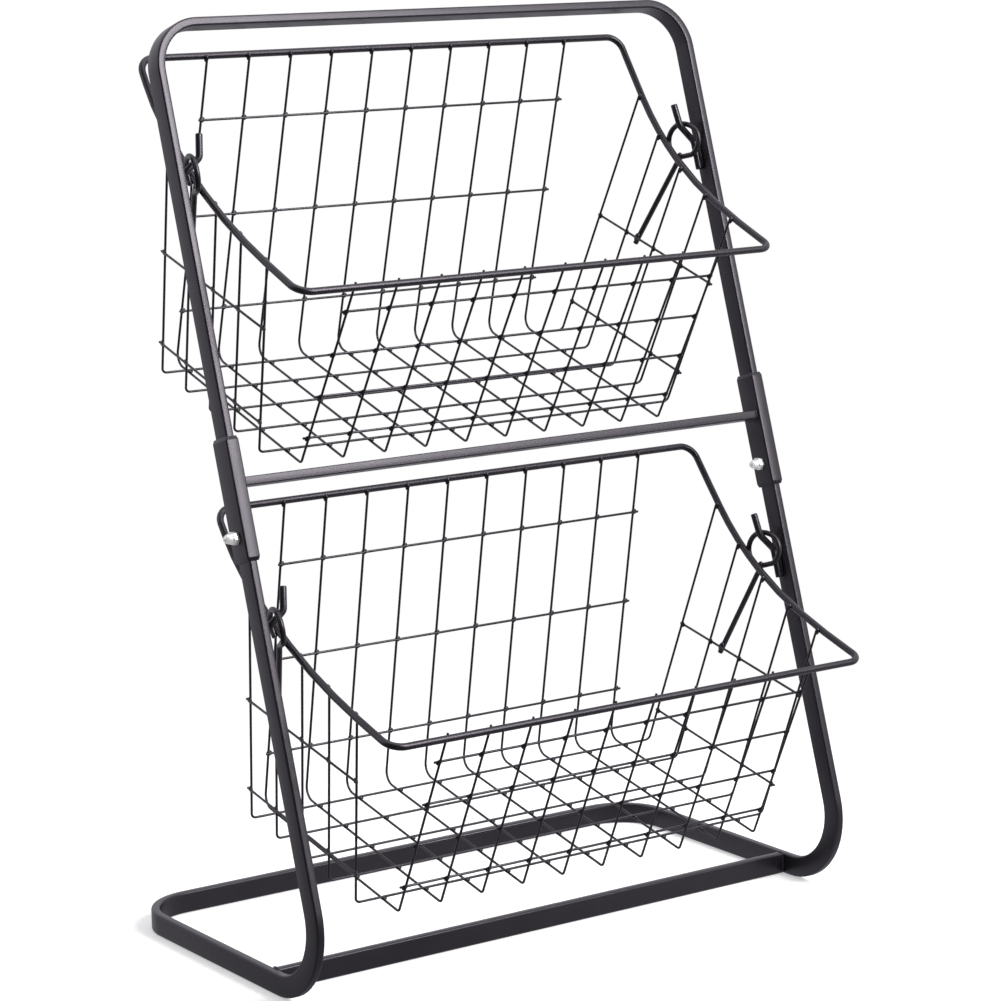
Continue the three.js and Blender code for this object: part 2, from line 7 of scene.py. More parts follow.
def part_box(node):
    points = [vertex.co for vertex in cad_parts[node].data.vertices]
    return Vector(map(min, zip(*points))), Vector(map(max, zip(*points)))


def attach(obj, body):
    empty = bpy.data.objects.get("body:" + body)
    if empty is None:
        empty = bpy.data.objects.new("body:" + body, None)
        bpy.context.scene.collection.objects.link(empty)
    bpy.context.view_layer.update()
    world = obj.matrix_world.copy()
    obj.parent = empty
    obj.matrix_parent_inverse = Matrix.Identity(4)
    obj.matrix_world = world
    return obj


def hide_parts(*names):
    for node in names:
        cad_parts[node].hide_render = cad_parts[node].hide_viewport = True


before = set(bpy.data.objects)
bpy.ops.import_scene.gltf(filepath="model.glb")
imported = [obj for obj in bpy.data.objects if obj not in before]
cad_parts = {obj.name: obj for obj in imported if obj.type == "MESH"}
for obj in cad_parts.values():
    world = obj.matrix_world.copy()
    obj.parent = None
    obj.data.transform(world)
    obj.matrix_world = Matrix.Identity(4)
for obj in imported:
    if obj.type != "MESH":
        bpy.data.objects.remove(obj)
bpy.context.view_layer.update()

# Lower frame tube
# One length of flat steel tube, bent cold into the two lower uprights, the base sides and the rear bar.
# Its open ends stand in the sleeves. Like the whole rack it is coated in satin black powder.
MM = 0.001
LEAN = math.radians(17.5)
TUBE_T = 6 * MM
TUBE_D = 15 * MM
TUBE_EDGE = 1.3 * MM
EDGE_STEPS = 4
FRAME_WIDTH = 440 * MM
BASE_DEPTH = 269 * MM
FRONT_BAR_SETBACK = 79 * MM
TOE_BEND = 45 * MM
REAR_BEND = 38 * MM
BEND_STEP = math.radians(6)
LOWER_SEAT = 260.6 * MM
SLEEVE_ABOVE_SEAT = 39.4 * MM
SLEEVE_LENGTH = 81.5 * MM
TUBE_JOINT_SHARE = 0.536
END_STEPS = 3
SAME_SPOT = 0.01 * MM
SMOOTH_BELOW = math.radians(40)
COAT_STOPS = [(0.3, (0.0048, 0.0043, 0.0056, 1)), (0.7, (0.0100, 0.0091, 0.0114, 1))]
COAT_TINT = (0.97, 0.90, 1.0, 1)
COAT_SPECULAR = 0.46
COAT_ROUGHNESS = 0.28
CLOUD_SCALE = 28
CLOUD_SHARE = 0.55
CLOUD_ROUGHNESS = 0.1
GRAIN_SCALE = 4200
GRAIN_ROUGHNESS = 0.06
PEEL_SCALE = 900
PEEL_SHARE = 0.7
PEEL_STRENGTH = 0.16
PEEL_DEPTH = 0.12 * MM

upright_x = FRAME_WIDTH / 2 - TUBE_T / 2
inner_face_x = FRAME_WIDTH / 2 - TUBE_T
toe_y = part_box("base_front_bar")[0].y - FRONT_BAR_SETBACK
rise = Vector((0, math.sin(LEAN), math.cos(LEAN)))
back = Vector((0, math.cos(LEAN), -math.sin(LEAN)))
up = Vector((0, 0, 1))
sleeve_start = LOWER_SEAT + SLEEVE_ABOVE_SEAT
tube_joint = sleeve_start + TUBE_JOINT_SHARE * SLEEVE_LENGTH


class Shade:
    """One socket of a material's nodes. Arithmetic on it adds Math nodes."""

    def __init__(self, tree, socket=None):
        self.tree = tree
        self.socket = socket

    def node(self, kind, settings=None, sockets=None, output=0):
        """Adds a node, sets it up, then gives its sockets values or links."""
        made = self.tree.nodes.new(kind)
        for key, value in (settings or {}).items():
            if key == "stops":
                for stop, (place, tone) in zip(made.color_ramp.elements, value):
                    stop.position = place
                    stop.color = tone
            else:
                setattr(made, key, value)
        for key, value in (sockets or {}).items():
            if isinstance(value, Shade):
                self.tree.links.new(value.socket, made.inputs[key])
            else:
                made.inputs[key].default_value = value
        return Shade(self.tree, made.outputs[output] if made.outputs else None)

    def reckon(self, operation, first, second):
        return self.node("ShaderNodeMath", {"operation": operation}, {0: first, 1: second})

    def __add__(self, other):
        return self.reckon("ADD", self, other)

    def __radd__(self, other):
        return self.reckon("ADD", other, self)

    def __mul__(self, other):
        return self.reckon("MULTIPLY", self, other)

    def __rmul__(self, other):
        return self.reckon("MULTIPLY", other, self)


def new_finish(name):
    """An empty material and the start of its nodes."""
    finish = bpy.data.materials.new(name)
    finish.use_nodes = True
    finish.node_tree.nodes.clear()
    return finish, Shade(finish.node_tree)


black_coat, shade = new_finish("satin_black_powder")
place = shade.node("ShaderNodeTexCoord", output="Object")
peel = shade.node("ShaderNodeTexNoise", sockets={"Vector": place, "Scale": PEEL_SCALE, "Detail": 2})
grain = shade.node("ShaderNodeTexNoise", sockets={"Vector": place, "Scale": GRAIN_SCALE, "Detail": 1})
cloud = shade.node("ShaderNodeTexNoise", sockets={"Vector": place, "Scale": CLOUD_SCALE, "Detail": 3})
tone = shade.node(
    "ShaderNodeValToRGB",
    {"stops": COAT_STOPS},
    {"Fac": CLOUD_SHARE * cloud + (1 - CLOUD_SHARE) * grain},
)
skin = shade.node(
    "ShaderNodeBump",
    sockets={
        "Strength": PEEL_STRENGTH,
        "Distance": PEEL_DEPTH,
        "Height": PEEL_SHARE * peel + (1 - PEEL_SHARE) * grain,
    },
)
coat = shade.node(
    "ShaderNodeBsdfPrincipled",
    sockets={
        "Base Color": tone,
        "Roughness": COAT_ROUGHNESS + CLOUD_ROUGHNESS * cloud + GRAIN_ROUGHNESS * grain,
        "Normal": skin,
        "Specular IOR Level": COAT_SPECULAR,
        "Specular Tint": COAT_TINT,
    },
)
shade.node("ShaderNodeOutputMaterial", sockets={"Surface": coat})


def on_upright(x, along):
    """A point on an upright's middle line, that far along it from the floor."""
    return Vector((x, toe_y, 0)) + rise * along + back * (TUBE_D / 2)


def flat_loop(width, height, rounding):
    """The outline of a flat tube, as an open loop of edges at the origin."""
    bpy.ops.object.select_all(action="DESELECT")
    bpy.ops.mesh.primitive_plane_add(size=1)
    loop = bpy.context.object
    loop.scale = (width, height, 1)
    bpy.ops.object.transform_apply(location=False, rotation=False, scale=True)
    bpy.ops.object.mode_set(mode="EDIT")
    bpy.ops.mesh.select_all(action="SELECT")
    bpy.ops.mesh.bevel(affect="VERTICES", offset=rounding, segments=EDGE_STEPS)
    bpy.ops.mesh.select_all(action="SELECT")
    bpy.ops.mesh.delete(type="ONLY_FACE")
    bpy.ops.object.mode_set(mode="OBJECT")
    return loop


def finish_in(piece, finish):
    """Shades the selected piece smooth between its edges and gives it a finish."""
    bpy.ops.object.shade_smooth_by_angle(angle=SMOOTH_BELOW)
    piece.data.materials.clear()
    piece.data.materials.append(finish)


def pull_along(name, loop, corners, top, ring=False, end_round=0):
    """Pulls a loop of edges along corners, each a place and a bend, and bends it round them."""
    loop.name = name
    loop.data.name = name
    sides = len(loop.data.vertices)
    here = corners[0][0]
    ahead = (corners[1][0] - here).normalized()
    across = top.cross(ahead).normalized()
    square_on = Matrix((across, ahead.cross(across), ahead)).transposed().to_4x4()
    loop.data.transform(Matrix.Translation(here) @ square_on)
    bpy.ops.object.mode_set(mode="EDIT")
    bpy.ops.mesh.select_mode(type="EDGE")
    bpy.ops.mesh.select_all(action="SELECT")
    for (before, _), (at, bend), (after, _) in zip(corners, corners[1:], corners[2:]):
        way_in = (at - before).normalized()
        way_out = (after - at).normalized()
        turn = way_in.angle(way_out)
        start = at - way_in * bend * math.tan(turn / 2)
        if (start - here).length > SAME_SPOT:
            bpy.ops.mesh.extrude_edges_move(TRANSFORM_OT_translate={"value": start - here})
        axis = way_in.cross(way_out).normalized()
        bpy.ops.mesh.spin(
            steps=max(1, math.ceil(turn / BEND_STEP)),
            angle=-turn,
            center=start + axis.cross(way_in) * bend,
            axis=axis,
        )
        here = at + way_out * bend * math.tan(turn / 2)
    bpy.ops.mesh.extrude_edges_move(TRANSFORM_OT_translate={"value": corners[-1][0] - here})
    bpy.ops.mesh.select_all(action="SELECT")
    if ring:
        bpy.ops.mesh.remove_doubles(threshold=SAME_SPOT)
    else:
        bpy.ops.mesh.fill_holes(sides=0)
    bpy.ops.mesh.select_all(action="SELECT")
    bpy.ops.mesh.normals_make_consistent(inside=False)
    if end_round:
        bpy.ops.mesh.select_mode(type="FACE")
        bpy.ops.mesh.select_face_by_sides(number=sides, type="EQUAL", extend=False)
        bpy.ops.mesh.bevel(offset=end_round, segments=END_STEPS, affect="EDGES")
    bpy.ops.object.mode_set(mode="OBJECT")
    finish_in(loop, black_coat)
    return loop


def fix_on(piece, body, *nodes, slot="black_coat"):
    """A piece moves with its body and stands for its solids, whose parts it hides. The slot is not used.
    """
    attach(piece, body)
    if nodes:
        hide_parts(*nodes)


toe_along = TUBE_D / 2 * (1 + math.sin(LEAN)) / math.cos(LEAN)
toe = on_upright(0, toe_along)
rear_y = toe_y + BASE_DEPTH - TUBE_T / 2
lower_path = [
    (on_upright(-upright_x, tube_joint), 0),
    (Vector((-upright_x, toe.y, toe.z)), TOE_BEND),
    (Vector((-upright_x, rear_y, TUBE_D / 2)), REAR_BEND),
    (Vector((upright_x, rear_y, TUBE_D / 2)), REAR_BEND),
    (Vector((upright_x, toe.y, toe.z)), TOE_BEND),
    (on_upright(upright_x, tube_joint), 0),
]
lower_tube = pull_along("lower_tube", flat_loop(TUBE_T, TUBE_D, TUBE_EDGE), lower_path, back)
fix_on(lower_tube, "frame", "lower_frame_tube")

# Front bar of the base
# A straight length of the same flat tube, cut square between the base sides and welded to them all round.
# The bead round each end is ground low and lies under the coat.
BEAD_SIDES = 8
BEAD_OFF_FACE = 0.2 * MM
BAR_BEAD_R = 1.1 * MM
BAR_BEAD_INSET = 1.2 * MM
BAR_BEAD_LIFT = 0.5 * MM

bar_y = toe_y + FRONT_BAR_SETBACK + TUBE_T / 2
bar_path = [(Vector((side * inner_face_x, bar_y, TUBE_D / 2)), 0) for side in (-1, 1)]
front_bar = pull_along("front_bar", flat_loop(TUBE_T, TUBE_D, TUBE_EDGE), bar_path, up)
fix_on(front_bar, "frame", "base_front_bar")


def round_loop(radius, sides):
    """The outline of a round rod, as an open loop of edges at the origin."""
    bpy.ops.object.select_all(action="DESELECT")
    bpy.ops.mesh.primitive_circle_add(vertices=sides, radius=radius)
    return bpy.context.object


def bead_round_bar(name, middle, across, tall, width, height, radius):
    """A weld bead that runs once round the end of a bar of that section."""
    half_w = across * (width / 2)
    half_h = tall * (height / 2)
    corner = [half_h - half_w, -half_h - half_w, half_w - half_h, half_w + half_h]
    path = [(middle + half_h, 0)]
    path += [(middle + place, TUBE_EDGE) for place in corner]
    path += [(middle + half_h, 0)]
    return pull_along(name, round_loop(radius, BEAD_SIDES), path, across.cross(tall), ring=True)


def copy_to(source, name, place):
    """A copy of a piece with its own mesh, moved by a matrix."""
    copy = source.copy()
    copy.data = source.data.copy()
    copy.name = name
    copy.data.name = name
    bpy.context.collection.objects.link(copy)
    copy.data.transform(place)
    if place.determinant() < 0:
        copy.data.flip_normals()
    return copy


def both_sides(left, apart):
    """A left piece and its copy that far to the right, each after the word for its side."""
    right = copy_to(left, left.name.replace("left", "right"), Matrix.Translation((apart, 0, 0)))
    return ("left", left), ("right", right)


bead_x = inner_face_x - BEAD_OFF_FACE
bar_bead = bead_round_bar(
    "left_bar_bead",
    Vector((-bead_x, bar_y, TUBE_D / 2 + BAR_BEAD_LIFT)),
    Vector((0, 1, 0)),
    up,
    TUBE_T - BAR_BEAD_INSET,
    TUBE_D - BAR_BEAD_INSET,
    BAR_BEAD_R,
)
for _, piece in both_sides(bar_bead, 2 * bead_x):
    fix_on(piece, "frame")

# Upper frame tube
# An upturned U of the same tube: the top half of both uprights and the top bar in one piece.
# It is bent flat, then pushed into the sleeves down to the lower tube.
TIER_PITCH = 300 * MM
TOP_ABOVE_SEAT = 97.4 * MM
TOP_BEND = 32 * MM

upper_seat = LOWER_SEAT + TIER_PITCH
top_along = upper_seat + TOP_ABOVE_SEAT - TUBE_T / 2
upper_path = [
    (on_upright(-upright_x, tube_joint), 0),
    (on_upright(-upright_x, top_along), TOP_BEND),
    (on_upright(upright_x, top_along), TOP_BEND),
    (on_upright(upright_x, tube_joint), 0),
]
upper_tube = pull_along("upper_tube", flat_loop(TUBE_T, TUBE_D, TUBE_EDGE), upper_path, back)
fix_on(upper_tube, "frame", "upper_frame_tube")

# Sleeves
# Short outer tubes that join the lower and the upper tube, drawn in and dressed round at both ends.
# The upper tube slides in from the top; a bolt holds the lower one.
SLEEVE_GAP = 0.3 * MM
SLEEVE_WALL = 1.6 * MM
SLEEVE_TAPER = 2.4 * MM
SLEEVE_DRAWN_SHARE = 2 / 3
SLEEVE_EDGE = 1.4 * MM
SLEEVE_END_ROUND = 0.6 * MM
SLEEVE_LIP_DEPTH = 4 * MM
DRESS_ABOVE = math.radians(22)

sleeve_half_t = TUBE_T / 2 + SLEEVE_GAP + SLEEVE_WALL
sleeve_d = TUBE_D + 2 * (SLEEVE_GAP + SLEEVE_WALL)
sleeve_path = [
    (on_upright(-upright_x, sleeve_start + SLEEVE_TAPER), 0),
    (on_upright(-upright_x, sleeve_start + SLEEVE_LENGTH - SLEEVE_TAPER), 0),
]
outline = flat_loop(2 * sleeve_half_t, sleeve_d, SLEEVE_EDGE)
outline_sides = len(outline.data.vertices)
sleeve = pull_along("left_joint_sleeve", outline, sleeve_path, back)
bpy.ops.object.mode_set(mode="EDIT")
bpy.ops.mesh.select_mode(type="FACE")
bpy.ops.mesh.select_face_by_sides(number=outline_sides, type="EQUAL", extend=False)
bpy.ops.mesh.inset(thickness=SLEEVE_WALL * SLEEVE_DRAWN_SHARE, depth=SLEEVE_TAPER, use_individual=True)
bpy.ops.mesh.inset(thickness=SLEEVE_WALL * (1 - SLEEVE_DRAWN_SHARE), use_individual=True)
bpy.ops.mesh.extrude_region_shrink_fatten(TRANSFORM_OT_shrink_fatten={"value": -SLEEVE_LIP_DEPTH})
bpy.ops.object.mode_set(mode="OBJECT")
rounding = sleeve.modifiers.new("dressed_ends", "BEVEL")
rounding.width = SLEEVE_END_ROUND
rounding.segments = END_STEPS
rounding.limit_method = "ANGLE"
rounding.angle_limit = DRESS_ABOVE
bpy.ops.object.modifier_apply(modifier=rounding.name)
finish_in(sleeve, black_coat)
for word, piece in both_sides(sleeve, 2 * upright_x):
    fix_on(piece, "frame", f"{word}_sleeve")

# Middle crossbar
# A narrower flat tube between the two sleeves, welded to their inner faces.
# It keeps the uprights apart where the rack comes to pieces.
CROSSBAR_D = 12.8 * MM
CROSSBAR_EDGE = 0.8 * MM
CROSSBAR_SHARE = 0.632
CROSSBAR_BEAD_R = 0.9 * MM

crossbar_rise = sleeve_start + CROSSBAR_SHARE * SLEEVE_LENGTH
crossbar_end = upright_x - sleeve_half_t
crossbar_path = [(on_upright(side * crossbar_end, crossbar_rise), 0) for side in (-1, 1)]
crossbar = pull_along("crossbar", flat_loop(TUBE_T, CROSSBAR_D, CROSSBAR_EDGE), crossbar_path, back)
fix_on(crossbar, "frame", "middle_crossbar")
bead_x = crossbar_end - BEAD_OFF_FACE
crossbar_bead = bead_round_bar(
    "left_crossbar_bead",
    on_upright(-bead_x, crossbar_rise),
    rise,
    back,
    TUBE_T,
    CROSSBAR_D,
    CROSSBAR_BEAD_R,
)
for _, piece in both_sides(crossbar_bead, 2 * bead_x):
    fix_on(piece, "frame")

# Bolts and cap nuts
# A low round-head bolt goes through each sleeve and the tube in it, and a domed cap nut closes it on
# the left. Both are turned steel with a bright plated finish.
BOLT_ABOVE_END = 16.5 * MM
BOLT_HEAD_R = 4.5 * MM
BOLT_RIM_H = 0.4 * MM
BOLT_DOME_H = 1.9 * MM
NUT_FLATS = 8.2 * MM
NUT_HEX_H = 4 * MM
NUT_CHAMFER = 0.5 * MM
NUT_CHAMFER_STEPS = 3
NUT_NECK_R = 3.8 * MM
NUT_NECK_H = 0.3 * MM
NUT_DOME_R = 3.6 * MM
NUT_DOME_H = 5.4 * MM
DOME_STEPS = 8
TURN_STEPS = 32
PLATE_STOPS = [(0.25, (0.78, 0.78, 0.77, 1)), (0.75, (0.90, 0.89, 0.88, 1))]
PLATE_METALLIC = 0.5
PLATE_ROUGHNESS = 0.26
MOTTLE_SCALE = 260
MOTTLE_ROUGHNESS = 0.1
TURNING_SCALE = 900
TURNING_STRENGTH = 0.02
TURNING_DEPTH = 0.01 * MM

bright_plate, shade = new_finish("bright_plated_steel")
place = shade.node("ShaderNodeTexCoord", output="Object")
turning = shade.node(
    "ShaderNodeTexWave",
    {"wave_type": "RINGS", "rings_direction": "X"},
    {"Vector": place, "Scale": TURNING_SCALE, "Distortion": 2, "Detail": 2},
)
mottle = shade.node("ShaderNodeTexNoise", sockets={"Vector": place, "Scale": MOTTLE_SCALE, "Detail": 3})
tone = shade.node("ShaderNodeValToRGB", {"stops": PLATE_STOPS}, {"Fac": mottle})
skin = shade.node(
    "ShaderNodeBump",
    sockets={"Strength": TURNING_STRENGTH, "Distance": TURNING_DEPTH, "Height": turning},
)
plate = shade.node(
    "ShaderNodeBsdfPrincipled",
    sockets={
        "Base Color": tone,
        "Metallic": PLATE_METALLIC,
        "Roughness": PLATE_ROUGHNESS + MOTTLE_ROUGHNESS * mottle,
        "Normal": skin,
    },
)
shade.node("ShaderNodeOutputMaterial", sockets={"Surface": plate})


def turned(name, profile, centre):
    """Spins a profile of places along X and radii about a line along X through the centre."""
    bpy.ops.object.select_all(action="DESELECT")
    bpy.ops.mesh.primitive_plane_add(size=MM)
    lathe = bpy.context.object
    lathe.name = name
    bpy.ops.object.mode_set(mode="EDIT")
    bpy.ops.mesh.select_mode(type="VERT")
    bpy.ops.mesh.select_all(action="SELECT")
    bpy.ops.mesh.merge(type="CENTER")
    bpy.ops.mesh.select_all(action="SELECT")
    spots = [centre + Vector((x, 0, radius)) for x, radius in profile]
    bpy.ops.transform.translate(value=spots[0])
    for here, after in zip(spots, spots[1:]):
        bpy.ops.mesh.extrude_region_move(TRANSFORM_OT_translate={"value": after - here})
    bpy.ops.mesh.select_all(action="SELECT")
    bpy.ops.mesh.spin(steps=TURN_STEPS, angle=math.tau, center=centre, axis=(1, 0, 0))
    bpy.ops.mesh.select_all(action="SELECT")
    bpy.ops.mesh.remove_doubles(threshold=SAME_SPOT)
    bpy.ops.mesh.select_all(action="SELECT")
    bpy.ops.mesh.normals_make_consistent(inside=False)
    bpy.ops.object.mode_set(mode="OBJECT")
    return lathe


def dome(start, direction, radius, height):
    """The profile of a dome that closes on the axis."""
    angles = [math.pi / 2 * k / DOME_STEPS for k in range(DOME_STEPS + 1)]
    return [(start + direction * height * math.sin(a), radius * math.cos(a)) for a in angles]


bolt_rise = sleeve_start + BOLT_ABOVE_END
head = turned(
    "left_bolt_head",
    [(0, 0), (0, BOLT_HEAD_R)] + dome(BOLT_RIM_H, 1, BOLT_HEAD_R, BOLT_DOME_H),
    on_upright(sleeve_half_t - upright_x, bolt_rise),
)
finish_in(head, bright_plate)
for word, piece in both_sides(head, 2 * upright_x):
    fix_on(piece, "frame", f"{word}_bolt", slot="bright_hardware")

nut_seat = on_upright(-sleeve_half_t - upright_x, bolt_rise)
cap = turned(
    "left_domed_nut",
    [(0, 0), (0, NUT_NECK_R), (-NUT_HEX_H, NUT_NECK_R)]
    + dome(-NUT_HEX_H - NUT_NECK_H, -1, NUT_DOME_R, NUT_DOME_H),
    nut_seat,
)
bpy.ops.object.select_all(action="DESELECT")
bpy.ops.mesh.primitive_cylinder_add(
    vertices=6,
    radius=NUT_FLATS / math.sqrt(3),
    depth=NUT_HEX_H,
    location=nut_seat - Vector((NUT_HEX_H / 2, 0, 0)),
    rotation=(0, math.pi / 2, 0),
)
bpy.ops.object.transform_apply(location=True, rotation=True, scale=True)
bpy.ops.object.mode_set(mode="EDIT")
bpy.ops.mesh.select_all(action="SELECT")
bpy.ops.mesh.bevel(offset=NUT_CHAMFER, segments=NUT_CHAMFER_STEPS)
bpy.ops.object.mode_set(mode="OBJECT")
cap.select_set(True)
bpy.context.view_layer.objects.active = cap
bpy.ops.object.join()
finish_in(cap, bright_plate)
for word, piece in both_sides(cap, 2 * upright_x):
    fix_on(piece, "frame", f"{word}_cap_nut", slot="bright_hardware")

# Frame hooks
# Four bent rods, two a tier, each welded by its leg to the inner face of an upright.
# The slope in the middle carries the eye of a basket, and the tip keeps the eye from sliding off.
HOOK_R = 2.4 * MM
HOOK_REACH = 15.8 * MM
HOOK_SLOPE = math.radians(40)
HOOK_SPLAY = math.radians(9)
HOOK_LEG = 26.6 * MM
HOOK_TIP = 20.9 * MM
HOOK_LEG_BACK = 3.4 * MM
HOOK_TIP_FRONT = 1 * MM
HOOK_BEND = 5 * MM
HOOK_END_ROUND = 0.8 * MM
HOOK_OFF_FACE = 0.1 * MM
THICK_ROD_SIDES = 16
EYE_FROM_TIP = 6.2 * MM
LEG_BEAD_R = 1.3 * MM
LEG_BEAD_SIDES = 10
LEG_BEAD_END_ROUND = 0.9 * MM
LEG_BEAD_OFF_FACE = 0.5 * MM
LEG_BEAD_BESIDE = 2.1 * MM
LEG_BEAD_ABOVE_FOOT = 1 * MM
LEG_BEAD_BELOW_BEND = 3 * MM

hook_leg_x = inner_face_x - HOOK_R - HOOK_OFF_FACE
hook_tip_x = inner_face_x - HOOK_REACH
eye_top_x = hook_tip_x + EYE_FROM_TIP
mirror_x = Matrix.Scale(-1, 4, (1, 0, 0))


def slope_rise(x):
    """How far a hook's slope is above the eye's seat, that far across."""
    return (eye_top_x - x) * math.tan(HOOK_SLOPE)


def on_hook(x, along):
    """A point of the right hooks' own plane, which is turned a little about the upright."""
    share = (x - hook_tip_x) / (hook_leg_x - hook_tip_x)
    behind = share * HOOK_LEG_BACK - (1 - share) * HOOK_TIP_FRONT
    return on_upright(x, along) + back * behind


tip_end_x = hook_tip_x - math.tan(HOOK_SPLAY) * (HOOK_TIP - slope_rise(hook_tip_x))
leg_top = slope_rise(hook_leg_x)
hook_path = [
    (on_hook(hook_leg_x, -HOOK_LEG), 0),
    (on_hook(hook_leg_x, leg_top), HOOK_BEND),
    (on_hook(hook_tip_x, slope_rise(hook_tip_x)), HOOK_BEND),
    (on_hook(tip_end_x, HOOK_TIP), 0),
]
hook = pull_along("hook", round_loop(HOOK_R, THICK_ROD_SIDES), hook_path, back, end_round=HOOK_END_ROUND)
leg_bead_path = [
    (on_upright(inner_face_x - LEG_BEAD_OFF_FACE, along) + back * HOOK_LEG_BACK, 0)
    for along in (LEG_BEAD_ABOVE_FOOT - HOOK_LEG, leg_top - LEG_BEAD_BELOW_BEND)
]
leg_bead = pull_along(
    "leg_bead",
    round_loop(LEG_BEAD_R, LEG_BEAD_SIDES),
    leg_bead_path,
    back,
    end_round=LEG_BEAD_END_ROUND,
)
for tier, seat in (("upper", upper_seat), ("lower", LOWER_SEAT)):
    for word, flip in (("left", mirror_x), ("right", Matrix())):
        at_seat = Matrix.Translation(rise * seat) @ flip
        piece = copy_to(hook, f"{word}_{tier}_hook", at_seat)
        fix_on(piece, "frame", f"{word}_{tier}_frame_hook")
        for edge_word, beside in (("front", -LEG_BEAD_BESIDE), ("back", LEG_BEAD_BESIDE)):
            at_edge = at_seat @ Matrix.Translation(back * beside)
            piece = copy_to(leg_bead, f"{word}_{tier}_hook_{edge_word}_bead", at_edge)
            fix_on(piece, "frame")
bpy.data.objects.remove(hook)
bpy.data.objects.remove(leg_bead)

# Basket rims
# One closed hoop of thick rod a basket: level along the front, swept up along the sides to the high back.
# It is bent over a form and butt welded. All wires end on its inside.
WIRE_R = 0.85 * MM
RIM_R = 2.4 * MM
JOIN_GAP = 0.3 * MM
BASKET_DEPTH = 170.8 * MM
BOTTOM_HALF = 170.359 * MM
FRONT_SLOPE = math.tan(math.radians(13))
BACK_SLOPE = math.tan(math.radians(2.2))
SIDE_SLOPE = math.tan(math.radians(7.6))
RIM_FRONT_H = 140 * MM
RIM_BACK_H = 220 * MM
RIM_LOW_RISE = 5.4 * MM
RIM_HIGH_RISE = 10.8 * MM
RIM_FRONT_BEND = 11 * MM
RIM_BACK_BEND = 11 * MM
RIM_BACK_TUCK = 3.7 * MM
RIM_SIDE_STEPS = 8
BEND_ROOM = 0.49

rim_offset = RIM_R + WIRE_R + JOIN_GAP
rim_front_y = -FRONT_SLOPE * RIM_FRONT_H - rim_offset
rim_back_y = BASKET_DEPTH + BACK_SLOPE * RIM_BACK_H + rim_offset


def side_x(h):
    """Half the basket's width between its side wires, at a height above its bottom."""
    return BOTTOM_HALF + SIDE_SLOPE * h


def rim_height(share):
    """The side rim's height, that share of the way from the front to the back."""
    rest = 1 - share
    low = 3 * rest * rest * share * (RIM_FRONT_H + RIM_LOW_RISE)
    high = 3 * rest * share * share * (RIM_FRONT_H + RIM_HIGH_RISE)
    return rest**3 * RIM_FRONT_H + low + high + share**3 * RIM_BACK_H


def rim_height_at(y):
    """The side rim's height, that far behind the basket's front corner."""
    return rim_height((y - rim_front_y) / (rim_back_y - rim_front_y))


def soft_corners(spots):
    """Corners with bends that run into each other, so that a row of spots becomes one curve."""
    corners = []
    for before, at, after in zip(spots, spots[1:], spots[2:]):
        turn = (at - before).angle(after - at)
        room = BEND_ROOM * min((at - before).length, (after - at).length)
        corners.append((at, room / math.tan(turn / 2)))
    return corners


def rim_side(side):
    """The rim's corners along one side, from the front to the back."""
    spots = []
    for k in range(RIM_SIDE_STEPS + 1):
        share = k / RIM_SIDE_STEPS
        h = rim_height(share)
        y = rim_front_y + share * (rim_back_y - rim_front_y)
        tuck = RIM_BACK_TUCK if k == RIM_SIDE_STEPS else 0
        spots.append(Vector((side * (side_x(h) + rim_offset - tuck), y, h)))
    return [(spots[0], RIM_FRONT_BEND)] + soft_corners(spots) + [(spots[-1], RIM_BACK_BEND)]


rim_start = (Vector((0, rim_front_y, RIM_FRONT_H)), 0)
rim_path = [rim_start] + rim_side(1) + rim_side(-1)[::-1] + [rim_start]
rim = pull_along("basket_rim", round_loop(RIM_R, THICK_ROD_SIDES), rim_path, up, ring=True)
basket_pieces = [(rim, ["basket_rim"])]

# Long wires
# Ten thin wires a basket, each bent twice: down the front wall, along the bottom and up the back wall.
# Their cut ends are welded to the inside of the rim.
LONG_WIRES = 10
LONG_MARGIN = 21.5 * MM
FRONT_CORNER_BEND = 3 * MM
BACK_CORNER_BEND = 9 * MM
FRONT_OVERSHOOT = 2.2 * MM
BACK_OVERSHOOT = 0.5 * MM
WIRE_SIDES = 12
WIRE_END_ROUND = 0.3 * MM


def thin_wire(name, path, top):
    """A thin wire along a path, with its cut ends rounded."""
    return pull_along(name, round_loop(WIRE_R, WIRE_SIDES), path, top, end_round=WIRE_END_ROUND)


def front_y(h):
    """How far back the front wall is at a height."""
    return -FRONT_SLOPE * h


def back_y(h):
    """How far back the back wall is at a height."""
    return BASKET_DEPTH + BACK_SLOPE * h


front_top = RIM_FRONT_H + FRONT_OVERSHOOT
back_top = RIM_BACK_H + BACK_OVERSHOOT
long_path = [
    (Vector((0, front_y(front_top), front_top)), 0),
    (Vector((0, 0, 0)), FRONT_CORNER_BEND),
    (Vector((0, BASKET_DEPTH, 0)), BACK_CORNER_BEND),
    (Vector((0, back_y(back_top), back_top)), 0),
]
long_wire = thin_wire("long_wire", long_path, Vector((1, 0, 0)))
long_half = BOTTOM_HALF - LONG_MARGIN
long_places = [long_half * (2 * k / (LONG_WIRES - 1) - 1) for k in range(LONG_WIRES)]
for k, x in enumerate(long_places):
    wire = copy_to(long_wire, f"bent_wire_{k + 1:02d}", Matrix.Translation((x, 0, 0)))
    basket_pieces.append((wire, [f"long_wire_{k + 1:02d}"]))
bpy.data.objects.remove(long_wire)

# Front and back rails
# Straight level wires across the inside of the long wires, four in the front wall and three in the back
# wall. Each crossing is spot welded.
RAIL_OVERHANG = 3 * MM
FRONT_RAILS = 4
FRONT_RAIL_FIRST = 19.2 * MM
FRONT_RAIL_PITCH = 33.2 * MM
BACK_RAILS = 3
BACK_RAIL_FIRST = 38.8 * MM
BACK_RAIL_PITCH = 69 * MM

